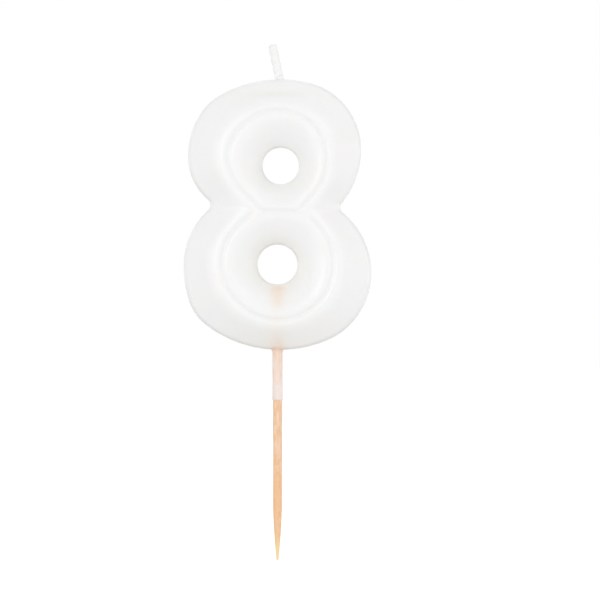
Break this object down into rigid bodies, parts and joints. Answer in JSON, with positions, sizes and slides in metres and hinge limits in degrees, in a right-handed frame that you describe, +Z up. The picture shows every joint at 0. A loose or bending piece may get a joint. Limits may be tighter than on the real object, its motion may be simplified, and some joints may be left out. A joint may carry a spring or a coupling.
{
  "type": "number birthday candle",
  "caption": "Numeral 8 birthday candle: a cast wax numeral with a dipped wax coat, a short leaning wick and a pointed wooden pick that pushes into a cake.",
  "frame": {"origin": "on the pick's axis, where the wax film on the pick ends and the bare shank begins", "axes": "+Z up the pick towards the wick, -Y out of the numeral's front face, +X to the right as the numeral is read"},
  "size_m": [0.0438, 0.0116, 0.1208],
  "materials": {
    "core_wax": null,
    "coat_wax": "dipped paraffin wax, white, satin, slightly translucent",
    "birch": "plain round birch, unvarnished",
    "cotton": "bleached cotton yarn, primed with wax"
  },
  "bodies": {
    "root": {"numeral_core": "core_wax", "dip_coat": "coat_wax", "pick": "birch", "wick_yarn_1": "cotton", "wick_yarn_2": "cotton", "wick_yarn_3": "cotton"}
  },
  "joints": []
}
